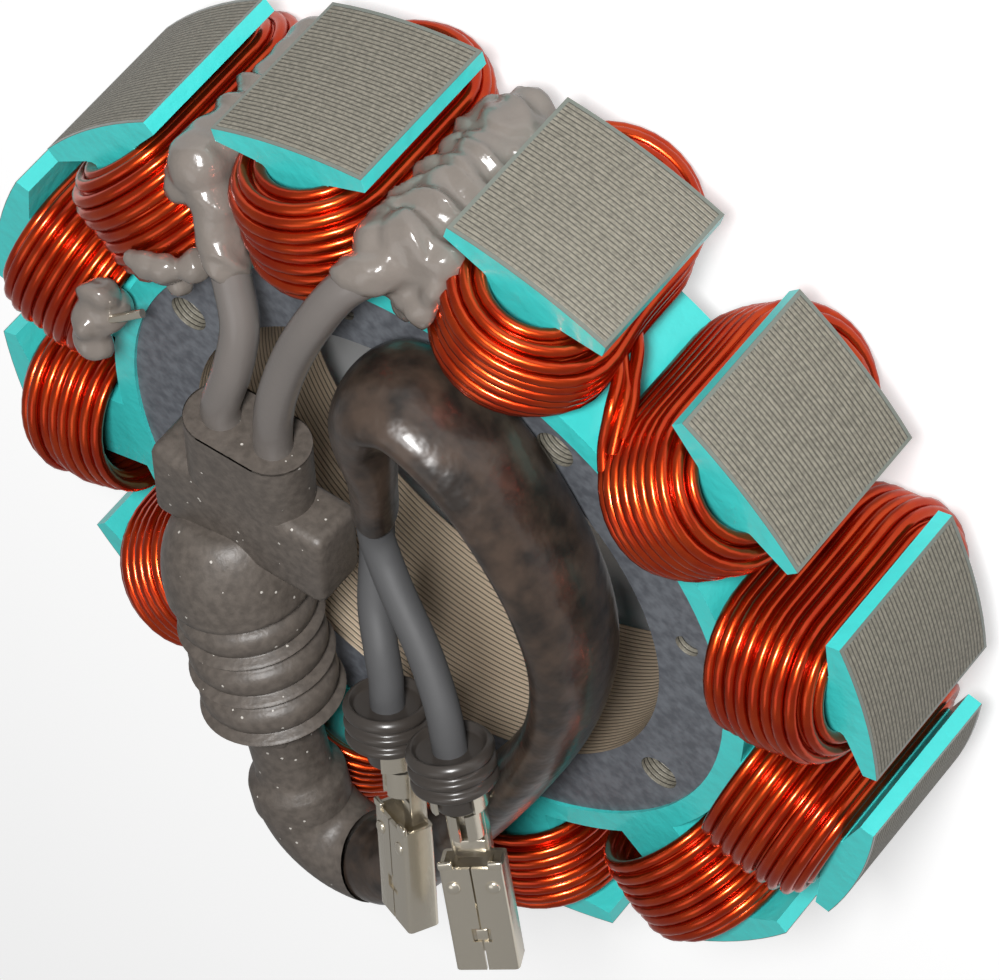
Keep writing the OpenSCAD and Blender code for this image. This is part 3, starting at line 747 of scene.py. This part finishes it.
# %% [markdown]
# The windings. A coil is one wire laid turn beside turn up the tooth, then over a rounded
# shoulder under the shoe, with a second layer showing in the grooves. The line steps from
# one turn to the next on the rear side. A little scatter keeps the turns from looking cast.

# %% Windings
copper_d = 1.3 * MM
first_u, shoulder_u, shoulder_r = 38.9, 46.8, 2.8
turn_half, arc_half, mid_h = 8.35, 6.0, 15.0
straight = shoulder_u - first_u
turn_count = int((straight + shoulder_r * pi / 2) * MM / copper_d) + 1
turn_pitch = (straight + shoulder_r * pi / 2) / (turn_count - 1)
turns = []
for i in range(turn_count):
    over = i * turn_pitch - straight
    if over <= 0:
        turns.append((turn_half - 0.5 * max(0, 1 - i / 2) ** 2, first_u + i * turn_pitch))
    else:
        a = over / shoulder_r
        turns.append((turn_half - shoulder_r * (1 - cos(a)), shoulder_u + shoulder_r * sin(a)))


def under_layer(turns, depth):
    made = []
    for (w0, u0), (w1, u1) in zip(turns, turns[1:]):
        along = Vector((w1 - w0, u1 - u0)).normalized()
        made.append(((w0 + w1) / 2 - along.y * depth, (u0 + u1) / 2 + along.x * depth))
    return made


def loop_point(w, share):
    """Place on the stadium loop of half-width w, from the middle of the rear end round."""
    quarter, side = pi / 2 * w, 2 * arc_half
    d = share * (4 * quarter + 2 * side)
    if d < quarter:
        a = d / w
        return w * sin(a), -arc_half - w * cos(a)
    d -= quarter
    if d < side:
        return w, -arc_half + d
    d -= side
    if d < 2 * quarter:
        a = d / w
        return w * cos(a), arc_half + w * sin(a)
    d -= 2 * quarter
    if d < side:
        return -w, arc_half - d
    a = (d - side) / w
    return -w * cos(a), -arc_half - w * sin(a)


# Shares of a turn: where it steps to the next, and where a bulge sits
step_from, step_over = 0.86, 0.14
bulge_at, bulge_over = 0.64, 0.07
loosest = 0.12


def winding_line(turns, seed, scatter, bulge=0.0, per_turn=52):
    """The turns as one line; a bulge widens the middle turns at the front end of the far side."""
    rng = random.Random(seed)
    loose = [(rng.gauss(0, scatter), rng.gauss(0, scatter * 0.5)) for _ in turns]
    line = []
    for i, (w, u) in enumerate(turns):
        nxt = min(i + 1, len(turns) - 1)
        for k in range(per_turn):
            share = k / per_turn
            step = max(0.0, (share - step_from) / step_over)
            dw = loose[i][0] + (loose[nxt][0] - loose[i][0]) * step
            du = loose[i][1] + (loose[nxt][1] - loose[i][1]) * step
            wave = noise.noise(Vector((seed * 7.3, i * 1.7, share * 5))) * scatter
            out = bulge * sin(pi * i / (len(turns) - 1)) * bell((share - bulge_at) / bulge_over)
            w_now = w + (turns[nxt][0] - w) * step + min(loosest, dw + wave) + out
            u_now = u + (turns[nxt][1] - u) * step + du
            t, z = loop_point(w_now, share)
            line.append(Vector((u_now, t, mid_h + z)) * MM)
    return line


for k in range(12):
    place = around(-30 * k)
    outer = [place @ p for p in winding_line(turns, 10 + k, 0.1, 1.3 if k == 2 else 0.0)]
    under = [place @ p for p in winding_line(under_layer(turns, 0.8), 40 + k, 0.03)]
    number = f"{k + 1:02d}"
    wire("winding_" + number, [outer, under], copper_d, copper, "copper_enamel",
         "coil_" + number, sides=3)
print("twelve windings of", len(turns), "turns,", round(length_of(outer), 2), "m in the top layer")

# %% [markdown]
# Jumpers cross the slots from coil to coil. Three strands climb from the front of the
# fourth coil to the side of the third; the rest cross at the rear.

# %% Jumpers
def slot_point(slot, u, s, z):
    return around(-30 * slot - 15) @ (Vector((u, s, z)) * MM)


# Rows of distance from the axis, place across the slot and height
strands = [
    ((40, -3.9, 26.2), (41, -2.2, 24.8), (43, -0.3, 22.8), (43.5, 1.1, 20.3), (43, 2.6, 18.4)),
    ((42, -3.3, 25.5), (43, -1.6, 22.9), (43.5, -0.4, 20.9), (43, 1.1, 19), (42.5, 2.6, 17.2)),
    ((43, -3, 24.2), (43.5, -1.4, 21.1), (43.5, 0, 19.1), (43, 1.4, 16.4), (42.5, 2.8, 14.6))]
crossing = ((40.6, 2.2, 8.2), (41.1, 0, 7.4), (40.6, -2.2, 8.2))
lines = [through([slot_point(2, *p) for p in strand], 6) for strand in strands]
for slot in range(3, 12):
    lines.append(through([slot_point(slot, *p) for p in crossing], 6))
wire("jumpers", lines, copper_d, copper, "copper_enamel", "coil_jumpers", sides=4)
print("jumpers:", len(lines))

# %% [markdown]
# Sealant. Lumps are round balls pushed together; a voxel remesh melts them into one skin,
# and noise pulls the skin into wrinkles.

# %% Sealant
def melted(name, balls, slot_name, *stands_for, voxel=0.35, ripple=0.5, seed=0):
    """Balls are rows of place and radius, in metres."""
    bm = bmesh.new()
    for place, radius in balls:
        bmesh.ops.create_icosphere(bm, subdivisions=3, radius=radius,
                                   matrix=Matrix.Translation(place))
    mesh = bpy.data.meshes.new(name)
    bm.to_mesh(mesh)
    bm.free()
    lump = bpy.data.objects.new(name + "_balls", mesh)
    scene.collection.objects.link(lump)
    melt = lump.modifiers.new("melt", "REMESH")
    melt.mode = "VOXEL"
    melt.voxel_size = voxel * MM
    soft = lump.modifiers.new("soft", "SMOOTH")
    soft.iterations = 14
    graph = bpy.context.evaluated_depsgraph_get()
    bm = bmesh.new()
    bm.from_object(lump, graph)
    bpy.data.objects.remove(lump)
    bm.normal_update()
    # Folds run across the slot: the noise is stretched along the radius and round the axis
    slot_r = 0.045
    for vert in bm.verts:
        out = Vector((vert.co.xy.length, atan2(vert.co.y, vert.co.x) * slot_r, vert.co.z)) / MM
        bent = out.z + 1.6 * noise.noise(out * 0.2 + Vector((0, 0, seed)))
        folds = Vector((out.x * 0.1, out.y * 0.12, bent * 0.36))
        crest = noise.noise(folds + Vector((seed, 0, 0)))
        grain = noise.noise(out * 0.6 + Vector((0, seed, 0)))
        vert.co += vert.normal * (0.8 - 2.6 * abs(crest) + 0.3 * grain) * ripple * MM
    return piece(name, bm, sealant, slot_name, *stands_for, crease=180)


def lead_coat(line, last, radius):
    """Balls along the start of a lead."""
    return [(line[i], radius * MM) for i in range(0, last, 2)]


# Each slot is filled by layers of balls, with a cap over the end turns and a coat on the lead
layers, layer_from, layer_h = 10, 7.6, 1.9
balls = []
for i in range(layers):
    z = layer_from + layer_h * i
    balls.append((slot_point(1, 48.6 + 0.5 * sin(i * 2.1), -1.2, z), 3.3 * MM))
    balls.append((slot_point(1, 47.6, 1.3, z + 0.8), 2.8 * MM))
    balls.append((slot_point(1, 49.6, -3.2 - 0.4 * sin(i * 1.3), z), 1.7 * MM))
cap = ((47.8, -1.4, 25.2, 3.3), (46.4, 0.4, 26.4, 3.1), (44.4, -1.8, 25.8, 3),
       (42.4, -1.4, 25, 2.6), (40.6, -0.8, 24.8, 2), (48.6, -4.4, 24.6, 2.2),
       (46.4, -4.6, 26, 2), (44, -3.8, 27, 1.9))
balls += [(slot_point(1, *p[:3]), p[3] * MM) for p in cap]
balls += lead_coat(lead_line_2, 8, 2.3)
melted("sealant_2", balls, "grey_sealant", "lead_potting_2", seed=3.1, ripple=0.7)
balls = []
for i in range(layers):
    z = layer_from + layer_h * i
    balls.append((slot_point(0, 48.7 + 0.4 * sin(i * 1.7), -0.9, z), 3.1 * MM))
    balls.append((slot_point(0, 47.4, 0.9, z + 0.6), 2.6 * MM))
cap = ((47.4, -0.9, 24.8, 2.5), (45.6, -0.8, 25.4, 2.2))
balls += [(slot_point(0, *p[:3]), p[3] * MM) for p in cap]
balls += lead_coat(lead_line_1, 14, 2.25)
melted("sealant_1", balls, "grey_sealant", "lead_potting_1", seed=8.4, ripple=0.55)

# Two small splices lie on the front end turns of one coil each
floor_u, front_h = 38.2, 24.0


def on_coil(number, rows):
    turn = around(-30 * (number - 1))
    return [(turn @ (Vector((floor_u + u, t, front_h + z)) * MM), r * MM) for u, t, z, r in rows]


balls = on_coil(12, ((0, -5.9, 5.3, 2.5), (-0.6, -3.2, 5.6, 2), (-0.4, -0.4, 5, 1.7),
                     (0.9, -8.3, 4.3, 1.9), (-0.5, -6, 3.4, 2)))
melted("ground_lump", balls, "grey_sealant", "ground_splice", seed=5.7, voxel=0.3, ripple=0.6)
balls = on_coil(1, ((3.8, -1.6, 6.2, 1), (2.8, -2.8, 6, 1.4), (1.6, -4, 5.6, 1.6),
                    (0.4, -6.4, 4.2, 1.5), (-0.8, -2.4, 4.2, 1.5)))
melted("neutral_lump", balls, "grey_sealant", "neutral_splice", seed=2.2, voxel=0.3, ripple=0.5)
tail = on_coil(12, ((-0.4, -6, 5.4, 1), (-2.2, -8.3, 5, 1), (-4.2, -10.8, 4.3, 1)))
tail_line = [place for place, radius in tail]
wire("tail", [through(tail_line, 6)], 0.9 * MM, tin, "tin", "ground_tail")
print("sealant and tail")

# %% [markdown]
# Core and coat keep their CAD shape. A fine bevel takes the sharpness off the coat, as
# fused powder never leaves a true edge.

# %% Core and coat
def paint(node, material, bevel=0.0):
    obj = nodes[node]
    obj.data.materials.clear()
    obj.data.materials.append(material)
    if bevel:
        edge = obj.modifiers.new("edge", "BEVEL")
        edge.width = bevel * MM
        edge.segments = 2
        edge.limit_method = "ANGLE"
        edge.angle_limit = radians(40)


paint("lamination_core", steel)
paint("insulation_coat", teal, 0.12)
paint("lead_splice_1", tin)
paint("lead_splice_2", tin)
print("core and coat painted")
